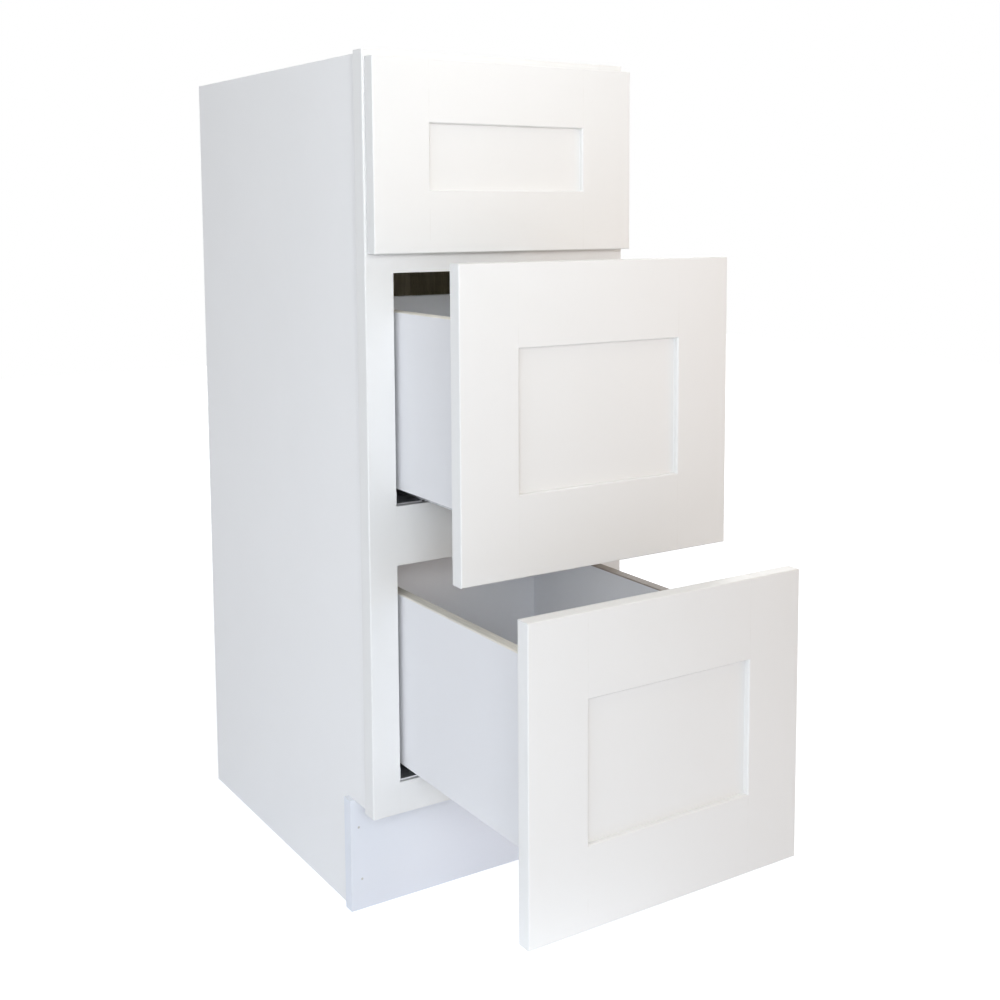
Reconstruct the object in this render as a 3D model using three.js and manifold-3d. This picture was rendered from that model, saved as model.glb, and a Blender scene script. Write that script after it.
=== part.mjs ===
// Narrow three-drawer base cabinet with a face frame, framed drawer fronts and undermount slides.
// Millimetres. X runs to the right, Y to the back, Z up. The origin is on the floor, at the back
// plane, in the middle of the width. The top drawer is shut and the two deep ones stand open.

import * as THREE from 'three';
import { mergeVertices } from 'three/addons/utils/BufferGeometryUtils.js';
import Module from 'manifold-3d';

const wasm = await Module();
wasm.setup();

// ---- Driving dimensions -------------------------------------------------------------------

const WIDTH = 304.8;
const HEIGHT = 876.3;
const DEPTH = 457.2;

const PANEL_THICK = 12.7;
const BACK_THICK = 6.35;
const JOINT_DEPTH = 6;
const FIT_GAP = 0.3;

const FRAME_THICK = 19;
const FRAME_STILE_WIDTH = 30;
const FRAME_EDGE_BREAK = 1;
const SIDE_INSET = 5;
const SIDE_TOP_DROP = 2;
const TENON_LENGTH = 10;
const TENON_THICK = 6.4;
const TENON_SHOULDER = 5;
const TENON_SETBACK = 6;

const TOE_HEIGHT = 120;
const TOE_RECESS = 54.5;
const TOE_BOARD_THICK = 14;
const FLOOR_DROP = 4;
const NAILER_HEIGHT = 76;
const BLOCK_LEG = 58;
const BLOCK_THICK = 19;

const TOP_RAIL_HEIGHT = 38.3;
const MIDDLE_RAIL_HEIGHT = 59.4;
const BOTTOM_RAIL_HEIGHT = 32.4;
const TOP_OPENING = 114;
const DEEP_OPENING_DIFFERENCE = 7.2;

const FRONT_THICK = 16;
const FRONT_MARGIN = 2;
const FRONT_TOP_REVEAL = 7.2;
const FRONT_GAP = 4;
const FRONT_EASE = 1;
const FRONT_STILE_WIDTH = 61;
const FRONT_RAIL_SLIM = 61;
const FRONT_RAIL_WIDE = 76;
const TOP_FRONT_LAP = 40.5;
const MIDDLE_FRONT_LAP = 37.7;
const BOTTOM_FRONT_LAP = 38.9;
const PANEL_RECESS = 5.5;
const STICK_BEVEL_WIDTH = 1.2;
const STICK_BEVEL_DEPTH = 1.2;
const FRONT_GROOVE_DEPTH = 9;
const FRONT_PANEL_THICK = 6.35;
const BUMPER_GAP = 1;

const BOX_SIDE_GAP = 5;
const BOX_LIFT = 16;
const BOX_THICK = 12;
const BOX_BOTTOM_THICK = 6.35;
const BOX_BOTTOM_LIFT = 12.7;
const BOX_EDGE_BREAK = 1;
const DEEP_BOX_HEADROOM = 30.8;
const SHALLOW_BOX_HEADROOM = 22;

const SLIDE_LENGTH = 381;
const STEEL = 1.6;
const RUNNER_LIFT = 1;
const RUNNER_SETBACK = 2;
const RUNNER_REACH = 40;
const RUNNER_FLANGE_TOP = 14;
const SLOT_WIDTH = 4.4;
const SLOT_LENGTH = 8;
const SLOT_START = 37;
const SLOT_PITCH = 96;
const RAIL_OUTER = 28;
const RAIL_WIDTH = 6;
const RAIL_TOP = 18;
const MEMBER_OUTER = 19;
const MEMBER_WIDTH = 24;
const MEMBER_FOOT = 8;
const MEMBER_END_MARGIN = 4.7;
const MEMBER_LIP = 2;
const CARRIAGE_WIDTH = 14;
const CARRIAGE_FOOT = 6;
const CARRIAGE_SHORTFALL = 81;
const CARRIAGE_SETBACK = 2;
const ROLLER_WIDTH = 7;
const ROLLER_COUNT = 4;
const ROLLER_END_MARGIN = 24;
const ROLLER_PIN_RADIUS = 0.7;
const GUIDE_LENGTH = 22;
const GUIDE_HEIGHT = 6;
const NOTCH_CLEARANCE = 2;

const SOCKET_WALL = 2.7;
const SOCKET_BITE = 0.4;
const SOCKET_GRIP = 22;
const SOCKET_OUTER_TOP = 12;
const SOCKET_INNER_TOP = 6;
const SOCKET_STEM_MARGIN = 7;
const SOCKET_PLATE_THICK = 3;
const SOCKET_PLATE_TOP = 34;
const SOCKET_PLATE_MARGIN = 3;

const MIDDLE_OPEN = 158.2;
const BOTTOM_OPEN = 264.5;

// ---- Worked-out dimensions ----------------------------------------------------------------

const OPENING_WIDTH = WIDTH - 2 * FRAME_STILE_WIDTH;
const FRAME_FRONT = -DEPTH;
const FRAME_BACK = FRAME_FRONT + FRAME_THICK;
const SIDE_OUTER = WIDTH / 2 - SIDE_INSET;
const SIDE_INNER = SIDE_OUTER - PANEL_THICK;
const SIDE_TOP = HEIGHT - SIDE_TOP_DROP;
const TOE_FRONT = FRAME_FRONT + TOE_RECESS;
const TOE_BACK = TOE_FRONT + TOE_BOARD_THICK;

// The two deep openings take what the toe kick, the rails and the top opening leave.
const RAILS_HEIGHT = TOP_RAIL_HEIGHT + 2 * MIDDLE_RAIL_HEIGHT + BOTTOM_RAIL_HEIGHT;
const DEEP_OPENINGS = HEIGHT - TOE_HEIGHT - RAILS_HEIGHT - TOP_OPENING;
const BOTTOM_OPENING = (DEEP_OPENINGS - DEEP_OPENING_DIFFERENCE) / 2;
const MIDDLE_OPENING = BOTTOM_OPENING + DEEP_OPENING_DIFFERENCE;
const BOTTOM_SILL = TOE_HEIGHT + BOTTOM_RAIL_HEIGHT;
const MIDDLE_SILL = BOTTOM_SILL + BOTTOM_OPENING + MIDDLE_RAIL_HEIGHT;
const TOP_SILL = MIDDLE_SILL + MIDDLE_OPENING + MIDDLE_RAIL_HEIGHT;
const FLOOR_TOP = BOTTOM_SILL - FLOOR_DROP;

const FRONT_WIDTH = WIDTH - 2 * FRONT_MARGIN;
const TOP_FRONT_FOOT = TOP_SILL - TOP_FRONT_LAP;
const MIDDLE_FRONT_FOOT = MIDDLE_SILL - MIDDLE_FRONT_LAP;
const BOTTOM_FRONT_FOOT = BOTTOM_SILL - BOTTOM_FRONT_LAP;

const DEEP_BOX_HEIGHT = BOTTOM_OPENING - BOX_LIFT - DEEP_BOX_HEADROOM;
const SHALLOW_BOX_HEIGHT = TOP_OPENING - BOX_LIFT - SHALLOW_BOX_HEADROOM;
const BOX_OUTER = OPENING_WIDTH / 2 - BOX_SIDE_GAP;
const BOX_INNER = BOX_OUTER - BOX_THICK;
const BOX_GROOVE = BOX_INNER + JOINT_DEPTH;
const BOX_FRONT = -BUMPER_GAP;
const BOX_BACK = BOX_FRONT + SLIDE_LENGTH;
const BOX_FLOOR = BOX_LIFT + BOX_BOTTOM_LIFT;

const RAIL_MIDDLE = RAIL_OUTER + RAIL_WIDTH / 2;
const MEMBER_FRONT = BOX_FRONT + BOX_THICK + FIT_GAP;
const MEMBER_BACK = BOX_BACK - MEMBER_END_MARGIN;
const MEMBER_INNER = MEMBER_OUTER + MEMBER_WIDTH;
const SLOT_COUNT = 1 + Math.floor((SLIDE_LENGTH - SOCKET_GRIP - SLOT_START) / SLOT_PITCH);
const CARRIAGE_FRONT = MEMBER_FRONT + CARRIAGE_SETBACK;
const CARRIAGE_LENGTH = SLIDE_LENGTH - CARRIAGE_SHORTFALL;
const ROLLER_FOOT = RAIL_TOP + FIT_GAP;
const ROLLER_RADIUS = (BOX_FLOOR - STEEL - FIT_GAP - ROLLER_FOOT) / 2;
const ROLLER_AXIS = ROLLER_FOOT + ROLLER_RADIUS;

// One row per drawer, from the top down: where its opening starts, its front and box, and how
// far it stands open.
const DRAWERS = [
  {
    name: 'top',
    sill: TOP_SILL,
    frontFoot: TOP_FRONT_FOOT,
    frontTop: HEIGHT - FRONT_TOP_REVEAL,
    railWidth: FRONT_RAIL_SLIM,
    boxHeight: SHALLOW_BOX_HEIGHT,
    open: 0,
  },
  {
    name: 'middle',
    sill: MIDDLE_SILL,
    frontFoot: MIDDLE_FRONT_FOOT,
    frontTop: TOP_FRONT_FOOT - FRONT_GAP,
    railWidth: FRONT_RAIL_WIDE,
    boxHeight: DEEP_BOX_HEIGHT,
    open: MIDDLE_OPEN,
  },
  {
    name: 'bottom',
    sill: BOTTOM_SILL,
    frontFoot: BOTTOM_FRONT_FOOT,
    frontTop: MIDDLE_FRONT_FOOT - FRONT_GAP,
    railWidth: FRONT_RAIL_WIDE,
    boxHeight: DEEP_BOX_HEIGHT,
    open: BOTTOM_OPEN,
  },
];

// ---- Materials ----------------------------------------------------------------------------

const MATERIALS = {
  paintedWood: { color: 0xf2f2f0, roughness: 0.45, metalness: 0 },
  coatedPanel: { color: 0xe6e6e6, roughness: 0.5, metalness: 0 },
  boxBoard: { color: 0xe9e9ec, roughness: 0.55, metalness: 0 },
  rawPly: { color: 0xa89a80, roughness: 0.7, metalness: 0 },
  zincSteel: { color: 0x8f9296, roughness: 0.35, metalness: 0.9 },
};

// ---- Solid helpers ------------------------------------------------------------------------

// A closed three.js geometry as a solid that can be cut and joined.
function solidOf(geometry) {
  const plain = geometry.clone();
  plain.deleteAttribute('normal');
  plain.deleteAttribute('uv');
  const merged = mergeVertices(plain, 1e-4);
  const mesh = new wasm.Mesh({
    numProp: 3,
    vertProperties: new Float32Array(merged.attributes.position.array),
    triVerts: new Uint32Array(merged.index.array),
  });
  return new wasm.Manifold(mesh);
}

// A solid back as three.js geometry.
function geometryOf(solid) {
  const mesh = solid.getMesh();
  const geometry = new THREE.BufferGeometry();
  geometry.setAttribute('position', new THREE.BufferAttribute(new Float32Array(mesh.vertProperties), 3));
  geometry.setIndex(new THREE.BufferAttribute(new Uint32Array(mesh.triVerts), 1));
  geometry.computeVertexNormals();
  return geometry;
}

function joined(solids) {
  return solids.reduce((sum, next) => sum.add(next));
}

function cutBy(solid, cutters) {
  return cutters.reduce((rest, cutter) => rest.subtract(cutter), solid);
}

// A block between two corners.
function block([x0, x1], [y0, y1], [z0, z1]) {
  const geometry = new THREE.BoxGeometry(x1 - x0, y1 - y0, z1 - z0);
  geometry.translate((x0 + x1) / 2, (y0 + y1) / 2, (z0 + z1) / 2);
  return solidOf(geometry);
}

function shapeOf(points) {
  return new THREE.Shape(points.map(([a, b]) => new THREE.Vector2(a, b)));
}

function extruded(shape, length) {
  return new THREE.ExtrudeGeometry(shape, { depth: length, bevelEnabled: false, curveSegments: 4 });
}

// A section drawn in Y and Z, drawn out along X.
function prismX(shape, x0, x1) {
  const geometry = extruded(shape, x1 - x0);
  const turn = new THREE.Matrix4().makeBasis(
    new THREE.Vector3(0, 1, 0),
    new THREE.Vector3(0, 0, 1),
    new THREE.Vector3(1, 0, 0),
  );
  geometry.applyMatrix4(turn);
  geometry.translate(x0, 0, 0);
  return solidOf(geometry);
}

// A section drawn in X and Z, drawn out along Y.
function prismY(shape, y0, y1) {
  const geometry = extruded(shape, y1 - y0);
  geometry.rotateX(Math.PI / 2);
  geometry.translate(0, y1, 0);
  return solidOf(geometry);
}

// A section drawn in X and Y, drawn out along Z.
function prismZ(shape, z0, z1) {
  const geometry = extruded(shape, z1 - z0);
  geometry.translate(0, 0, z0);
  return solidOf(geometry);
}

// The X of a point that lies a distance inside the opening's left (-1) or right (+1) edge.
function inward(side, distance) {
  return side * (OPENING_WIDTH / 2 - distance);
}

function range(a, b) {
  return [Math.min(a, b), Math.max(a, b)];
}

const SIDES = { left: -1, right: 1 };

function part(name, solid, material) {
  const mesh = new THREE.Mesh(geometryOf(solid), new THREE.MeshStandardMaterial(MATERIALS[material]));
  mesh.name = name;
  return mesh;
}

// ---- Carcass ------------------------------------------------------------------------------

// A side with its toe notch, a rabbet for the back and a housing for the floor.
function sidePanel(side) {
  const frontEdge = FRAME_BACK - JOINT_DEPTH;
  const outline = shapeOf([
    [frontEdge, TOE_HEIGHT],
    [TOE_BACK, TOE_HEIGHT],
    [TOE_BACK, 0],
    [0, 0],
    [0, SIDE_TOP],
    [frontEdge, SIDE_TOP],
  ]);
  const [x0, x1] = range(side * SIDE_INNER, side * SIDE_OUTER);
  const panel = prismX(outline, x0, x1);
  const cutWidth = range(side * (SIDE_INNER - 1), side * (SIDE_INNER + JOINT_DEPTH));
  const rabbet = block(cutWidth, [-BACK_THICK, 1], [-1, HEIGHT]);
  const housing = block(cutWidth, [FRAME_BACK, 0], [FLOOR_TOP - PANEL_THICK, FLOOR_TOP + FIT_GAP]);
  return cutBy(panel, [rabbet, housing]);
}

function floorPanel() {
  const reach = SIDE_INNER + JOINT_DEPTH - FIT_GAP;
  return block([-reach, reach], [FRAME_BACK, -BACK_THICK], [FLOOR_TOP - PANEL_THICK, FLOOR_TOP]);
}

function backPanel() {
  const reach = SIDE_INNER + JOINT_DEPTH - FIT_GAP;
  return block([-reach, reach], [-BACK_THICK, 0], [0, SIDE_TOP]);
}

// Triangular blocks that brace two top corners and take the worktop's screws.
function cornerBlocks(y, toward) {
  const top = SIDE_TOP - SIDE_TOP_DROP;
  return [-1, 1].map((side) => {
    const triangle = shapeOf([
      [side * SIDE_INNER, y],
      [side * (SIDE_INNER - BLOCK_LEG), y],
      [side * SIDE_INNER, y + toward * BLOCK_LEG],
    ]);
    return prismZ(triangle, top - BLOCK_THICK, top);
  });
}

// The rail inside the back that is screwed to the wall, with its two corner blocks glued on.
function topNailer() {
  const face = -BACK_THICK - PANEL_THICK;
  const board = block([-SIDE_INNER, SIDE_INNER], [face, -BACK_THICK], [SIDE_TOP - NAILER_HEIGHT, SIDE_TOP]);
  return joined([board, ...cornerBlocks(face, -1)]);
}

function toeKickBoard() {
  return block([-WIDTH / 2, WIDTH / 2], [TOE_FRONT, TOE_BACK], [0, TOE_HEIGHT]);
}

// ---- Face frame ---------------------------------------------------------------------------

const FRAME_RAILS = [
  { name: 'top', z0: TOP_SILL + TOP_OPENING, z1: HEIGHT },
  { name: 'upper', z0: MIDDLE_SILL + MIDDLE_OPENING, z1: TOP_SILL },
  { name: 'lower', z0: BOTTOM_SILL + BOTTOM_OPENING, z1: MIDDLE_SILL },
  { name: 'bottom', z0: TOE_HEIGHT, z1: BOTTOM_SILL },
];

// The stub tenon on a rail's end, or with a slack the mortise that takes it.
function tenon(side, rail, slack) {
  const shoulder = OPENING_WIDTH / 2;
  const [y0, y1] = [FRAME_FRONT + TENON_SETBACK, FRAME_FRONT + TENON_SETBACK + TENON_THICK];
  return block(
    range(side * (shoulder - slack), side * (shoulder + TENON_LENGTH + slack)),
    [y0 - slack, y1 + slack],
    [rail.z0 + TENON_SHOULDER - slack, rail.z1 - TENON_SHOULDER + slack],
  );
}

function frameStile(side) {
  const outer = side * WIDTH / 2;
  const inner = side * OPENING_WIDTH / 2;
  const section = shapeOf([
    [outer - side * FRAME_EDGE_BREAK, FRAME_FRONT],
    [outer, FRAME_FRONT + FRAME_EDGE_BREAK],
    [outer, FRAME_BACK],
    [inner, FRAME_BACK],
    [inner, FRAME_FRONT],
  ]);
  const stile = prismZ(section, TOE_HEIGHT, HEIGHT);
  const sideGroove = block(
    range(side * (SIDE_INNER - FIT_GAP), side * (SIDE_OUTER + FIT_GAP)),
    [FRAME_BACK - JOINT_DEPTH, FRAME_BACK + 1],
    [TOE_HEIGHT - 1, HEIGHT + 1],
  );
  const mortises = FRAME_RAILS.map((rail) => tenon(side, rail, FIT_GAP));
  return cutBy(stile, [sideGroove, ...mortises]);
}

function frameRail(rail) {
  const half = OPENING_WIDTH / 2;
  const body = block([-half, half], [FRAME_FRONT, FRAME_BACK], [rail.z0, rail.z1]);
  const blocks = rail.name === 'top' ? cornerBlocks(FRAME_BACK, 1) : [];
  return joined([body, tenon(-1, rail, 0), tenon(1, rail, 0), ...blocks]);
}

function carcass() {
  const group = new THREE.Group();
  group.add(
    part('floor_panel', floorPanel(), 'rawPly'),
    part('back_panel', backPanel(), 'rawPly'),
    part('top_nailer', topNailer(), 'rawPly'),
    part('toe_kick_board', toeKickBoard(), 'coatedPanel'),
  );
  for (const [name, side] of Object.entries(SIDES)) {
    group.add(part(`side_panel_${name}`, sidePanel(side), 'coatedPanel'));
    group.add(part(`frame_stile_${name}`, frameStile(side), 'paintedWood'));
  }
  for (const rail of FRAME_RAILS) {
    group.add(part(`frame_rail_${rail.name}`, frameRail(rail), 'paintedWood'));
  }
  return group;
}

// ---- Slides -------------------------------------------------------------------------------
// Each slide has three members: the runner is screwed to the frame and held by a socket at the
// back, the carriage rolls on the runner's rail, and the drawer's member rolls on the carriage.
// Their sections are drawn in steps inward from the opening's edge and up from its sill.

function sectionOf(side, points) {
  return shapeOf(points.map(([distance, height]) => [inward(side, distance), height]));
}

// The moulded socket on a runner's back end. It reaches back to a plate on the back panel.
function rearSocket(side) {
  const grip = RUNNER_SETBACK + SLIDE_LENGTH;
  const stemStart = grip - SOCKET_BITE;
  const plateEnd = DEPTH - BACK_THICK;
  const plateStart = plateEnd - SOCKET_PLATE_THICK;
  const bed = RUNNER_LIFT + SOCKET_BITE;
  const foot = RUNNER_LIFT - SOCKET_WALL;
  const inner = RUNNER_REACH + SOCKET_WALL;
  const tray = sectionOf(side, [
    [-SOCKET_WALL, SOCKET_OUTER_TOP],
    [-SOCKET_WALL, foot],
    [inner, foot],
    [inner, SOCKET_INNER_TOP],
    [RUNNER_REACH - SOCKET_BITE, SOCKET_INNER_TOP],
    [RUNNER_REACH - SOCKET_BITE, bed],
    [SOCKET_BITE, bed],
    [SOCKET_BITE, SOCKET_OUTER_TOP],
  ]);
  const web = block(
    range(inward(side, -SOCKET_WALL), inward(side, inner)),
    [stemStart, stemStart + SOCKET_WALL],
    [foot, SOCKET_OUTER_TOP],
  );
  const stem = block(
    range(inward(side, SOCKET_STEM_MARGIN), inward(side, inner - SOCKET_STEM_MARGIN)),
    [stemStart, plateStart],
    [foot, SOCKET_OUTER_TOP],
  );
  const plate = block(
    range(inward(side, -SOCKET_WALL - SOCKET_PLATE_MARGIN), inward(side, inner + SOCKET_PLATE_MARGIN)),
    [plateStart, plateEnd],
    [foot, SOCKET_PLATE_TOP],
  );
  return joined([prismY(tray, grip - SOCKET_GRIP, stemStart + SOCKET_WALL), web, stem, plate]);
}

// The slots for screws along the runner's flange. Their length lets the runner be adjusted.
function screwSlots(side) {
  const radius = SLOT_WIDTH / 2;
  const straight = SLOT_LENGTH / 2 - radius;
  const height = (RUNNER_LIFT + STEEL + RUNNER_FLANGE_TOP) / 2;
  return Array.from({ length: SLOT_COUNT }, (_, i) => {
    const y = RUNNER_SETBACK + SLOT_START + i * SLOT_PITCH;
    const slot = new THREE.Shape();
    slot.absarc(y + straight, height, radius, -Math.PI / 2, Math.PI / 2);
    slot.absarc(y - straight, height, radius, Math.PI / 2, 3 * Math.PI / 2);
    return prismX(slot, ...range(inward(side, -1), inward(side, STEEL + 1)));
  });
}

// The fixed runner: a mounting flange, a foot and a hollow folded rail, cut low at the front
// end to pass under the box's front, with the socket that holds its back end.
function runner(side) {
  const foot = RUNNER_LIFT;
  const railInner = RAIL_OUTER + RAIL_WIDTH;
  const section = sectionOf(side, [
    [0, RUNNER_FLANGE_TOP],
    [0, foot],
    [RAIL_OUTER + STEEL, foot],
    [RAIL_OUTER + STEEL, RAIL_TOP - STEEL],
    [railInner - STEEL, RAIL_TOP - STEEL],
    [railInner - STEEL, foot],
    [RUNNER_REACH, foot],
    [RUNNER_REACH, foot + STEEL],
    [railInner, foot + STEEL],
    [railInner, RAIL_TOP],
    [RAIL_OUTER, RAIL_TOP],
    [RAIL_OUTER, foot + STEEL],
    [STEEL, foot + STEEL],
    [STEEL, RUNNER_FLANGE_TOP],
  ]);
  const whole = prismY(section, RUNNER_SETBACK, RUNNER_SETBACK + SLIDE_LENGTH);
  const frontCut = block(
    range(inward(side, RAIL_OUTER - 1), inward(side, railInner + 1)),
    [0, CARRIAGE_FRONT],
    [BOX_LIFT - NOTCH_CLEARANCE, RAIL_TOP + 1],
  );
  return cutBy(whole, [frontCut, ...screwSlots(side)]).add(rearSocket(side));
}

// A roller standing through the carriage's top, on a pin that joins it to the plate.
function roller(side, y) {
  const turned = (radius, length) => {
    const geometry = new THREE.CylinderGeometry(radius, radius, length, 16);
    geometry.rotateZ(Math.PI / 2);
    geometry.translate(inward(side, RAIL_MIDDLE), y, ROLLER_AXIS);
    return solidOf(geometry);
  };
  return turned(ROLLER_RADIUS, ROLLER_WIDTH).add(turned(ROLLER_PIN_RADIUS, CARRIAGE_WIDTH - STEEL));
}

// Nylon pads that guide the carriage between the rail and the drawer's member.
function guides(side, y) {
  const outer = RAIL_MIDDLE - CARRIAGE_WIDTH / 2;
  const inner = RAIL_MIDDLE + CARRIAGE_WIDTH / 2;
  const spans = [
    [MEMBER_OUTER + STEEL + FIT_GAP, outer],
    [outer + STEEL, RAIL_OUTER - FIT_GAP],
    [RAIL_OUTER + RAIL_WIDTH + FIT_GAP, inner - STEEL],
    [inner, MEMBER_INNER - STEEL - FIT_GAP],
  ];
  const foot = MEMBER_FOOT + STEEL + NOTCH_CLEARANCE;
  return spans.map(([from, to]) => block(
    range(inward(side, from), inward(side, to)),
    [y - GUIDE_LENGTH / 2, y + GUIDE_LENGTH / 2],
    [foot, foot + GUIDE_HEIGHT],
  ));
}

// The intermediate carriage: a folded channel with windows for its rollers.
function carriage(side) {
  const outer = RAIL_MIDDLE - CARRIAGE_WIDTH / 2;
  const inner = RAIL_MIDDLE + CARRIAGE_WIDTH / 2;
  const plateFoot = ROLLER_AXIS - STEEL / 2;
  const plateTop = ROLLER_AXIS + STEEL / 2;
  const section = sectionOf(side, [
    [outer, CARRIAGE_FOOT],
    [outer, plateTop],
    [inner, plateTop],
    [inner, CARRIAGE_FOOT],
    [inner - STEEL, CARRIAGE_FOOT],
    [inner - STEEL, plateFoot],
    [outer + STEEL, plateFoot],
    [outer + STEEL, CARRIAGE_FOOT],
  ]);
  const channel = prismY(section, CARRIAGE_FRONT, CARRIAGE_FRONT + CARRIAGE_LENGTH);
  const pitch = (CARRIAGE_LENGTH - 2 * ROLLER_END_MARGIN) / (ROLLER_COUNT - 1);
  const firstRoller = CARRIAGE_FRONT + ROLLER_END_MARGIN;
  const stations = Array.from({ length: ROLLER_COUNT }, (_, i) => firstRoller + i * pitch);
  const windowReach = ROLLER_RADIUS + STEEL;
  const windowHalf = ROLLER_WIDTH / 2 + STEEL / 2;
  const windows = stations.map((y) => block(
    range(inward(side, RAIL_MIDDLE - windowHalf), inward(side, RAIL_MIDDLE + windowHalf)),
    [y - windowReach, y + windowReach],
    [plateFoot - 1, plateTop + 1],
  ));
  const fittings = stations.flatMap((y) => [roller(side, y), ...guides(side, y)]);
  return joined([cutBy(channel, windows), ...fittings]);
}

// The drawer's member: a lipped channel under the box's bottom, open towards the runner.
function drawerMember(side) {
  const section = sectionOf(side, [
    [MEMBER_OUTER, MEMBER_FOOT],
    [MEMBER_OUTER, BOX_FLOOR],
    [MEMBER_INNER, BOX_FLOOR],
    [MEMBER_INNER, MEMBER_FOOT],
    [MEMBER_INNER - STEEL - MEMBER_LIP, MEMBER_FOOT],
    [MEMBER_INNER - STEEL - MEMBER_LIP, MEMBER_FOOT + STEEL],
    [MEMBER_INNER - STEEL, MEMBER_FOOT + STEEL],
    [MEMBER_INNER - STEEL, BOX_FLOOR - STEEL],
    [MEMBER_OUTER + STEEL, BOX_FLOOR - STEEL],
    [MEMBER_OUTER + STEEL, MEMBER_FOOT + STEEL],
    [MEMBER_OUTER + STEEL + MEMBER_LIP, MEMBER_FOOT + STEEL],
    [MEMBER_OUTER + STEEL + MEMBER_LIP, MEMBER_FOOT],
  ]);
  return prismY(section, MEMBER_FRONT, MEMBER_BACK);
}

// ---- Drawer front -------------------------------------------------------------------------

// The moulded section of a front's frame piece: a small bevel, then a straight wall down to the
// panel's groove. It is drawn from the outer edge inwards and from the face backwards.
function stickSection(width, place) {
  const grooveBack = PANEL_RECESS + FRONT_PANEL_THICK + FIT_GAP;
  const outline = [
    [0, 0],
    [width - STICK_BEVEL_WIDTH, 0],
    [width, STICK_BEVEL_DEPTH],
    [width, PANEL_RECESS],
    [width - FRONT_GROOVE_DEPTH, PANEL_RECESS],
    [width - FRONT_GROOVE_DEPTH, grooveBack],
    [width, grooveBack],
    [width, FRONT_THICK],
    [0, FRONT_THICK],
  ];
  return shapeOf(outline.map(([inset, depth]) => place(inset, depth)));
}

// The whole front as a slab with eased edges. Every piece of the front stays inside it.
function easedSlab(foot, top) {
  const halfWidth = FRONT_WIDTH / 2 - FRONT_EASE;
  const rectangle = shapeOf([
    [-halfWidth, foot + FRONT_EASE],
    [halfWidth, foot + FRONT_EASE],
    [halfWidth, top - FRONT_EASE],
    [-halfWidth, top - FRONT_EASE],
  ]);
  const geometry = new THREE.ExtrudeGeometry(rectangle, {
    depth: FRONT_THICK - 2 * FRONT_EASE,
    bevelEnabled: true,
    bevelThickness: FRONT_EASE,
    bevelSize: FRONT_EASE,
    bevelSegments: 2,
  });
  geometry.rotateX(Math.PI / 2);
  geometry.translate(0, -BUMPER_GAP - FRONT_EASE, 0);
  return solidOf(geometry);
}

// The five pieces of a front. The rails are coped over the stiles' moulding and end in tongues.
function frontPieces(drawer) {
  const foot = drawer.frontFoot - drawer.sill;
  const top = drawer.frontTop - drawer.sill;
  const face = -BUMPER_GAP - FRONT_THICK;
  const slab = easedSlab(foot, top);
  const stileOf = (side) => {
    const section = stickSection(FRONT_STILE_WIDTH, (u, v) => [side * (FRONT_WIDTH / 2 - u), face + v]);
    return prismZ(section, foot, top);
  };
  const stiles = { left: stileOf(-1), right: stileOf(1) };
  const tongueReach = FRONT_WIDTH / 2 - FRONT_STILE_WIDTH + FRONT_GROOVE_DEPTH - FIT_GAP;
  const railOf = (edge, away) => {
    const section = stickSection(drawer.railWidth, (u, v) => [face + v, edge + away * u]);
    const blank = prismX(section, -tongueReach, tongueReach);
    return cutBy(blank, [stiles.left, stiles.right]).intersect(slab);
  };
  const panelMargin = drawer.railWidth - FRONT_GROOVE_DEPTH + FIT_GAP;
  const panelFront = face + PANEL_RECESS;
  return {
    front_stile_left: stiles.left.intersect(slab),
    front_stile_right: stiles.right.intersect(slab),
    front_rail_top: railOf(top, -1),
    front_rail_bottom: railOf(foot, 1),
    front_panel: block(
      [-tongueReach, tongueReach],
      [panelFront, panelFront + FRONT_PANEL_THICK],
      [foot + panelMargin, top - panelMargin],
    ),
  };
}

// ---- Drawer box ---------------------------------------------------------------------------

// The groove round the inside of the box that carries its bottom.
function bottomGroove(slack) {
  return block(
    [-BOX_GROOVE + FIT_GAP - slack, BOX_GROOVE - FIT_GAP + slack],
    [BOX_FRONT + BOX_THICK - JOINT_DEPTH + FIT_GAP - slack, BOX_BACK - BOX_THICK + JOINT_DEPTH - FIT_GAP + slack],
    [BOX_FLOOR, BOX_FLOOR + BOX_BOTTOM_THICK + slack],
  );
}

// The end board's place between the sides. It sits in a rabbet at each side's end.
function endBoard(y0, top) {
  return block([-BOX_GROOVE, BOX_GROOVE], [y0, y0 + BOX_THICK], [BOX_LIFT, top]);
}

function boxPieces(drawer) {
  const top = BOX_LIFT + drawer.boxHeight;
  const groove = bottomGroove(FIT_GAP);
  const frontBoard = endBoard(BOX_FRONT, top);
  const backBoard = endBoard(BOX_BACK - BOX_THICK, top);
  const sideOf = (side) => {
    const outer = side * BOX_OUTER;
    const inner = side * BOX_INNER;
    const edge = side * BOX_EDGE_BREAK;
    const section = shapeOf([
      [outer, BOX_LIFT],
      [outer, top - BOX_EDGE_BREAK],
      [outer - edge, top],
      [inner + edge, top],
      [inner, top - BOX_EDGE_BREAK],
      [inner, BOX_LIFT],
    ]);
    return cutBy(prismY(section, BOX_FRONT, BOX_BACK), [groove, frontBoard, backBoard]);
  };
  const slideNotch = (side) => block(
    range(side * BOX_INNER, inward(side, MEMBER_INNER + NOTCH_CLEARANCE)),
    [BOX_BACK - BOX_THICK - 1, BOX_BACK + 1],
    [BOX_LIFT - 1, BOX_FLOOR],
  );
  return {
    box_side_left: sideOf(-1),
    box_side_right: sideOf(1),
    box_front: frontBoard.subtract(groove),
    box_back: cutBy(backBoard, [groove, slideNotch(-1), slideNotch(1)]),
    box_bottom: bottomGroove(0),
  };
}

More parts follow.
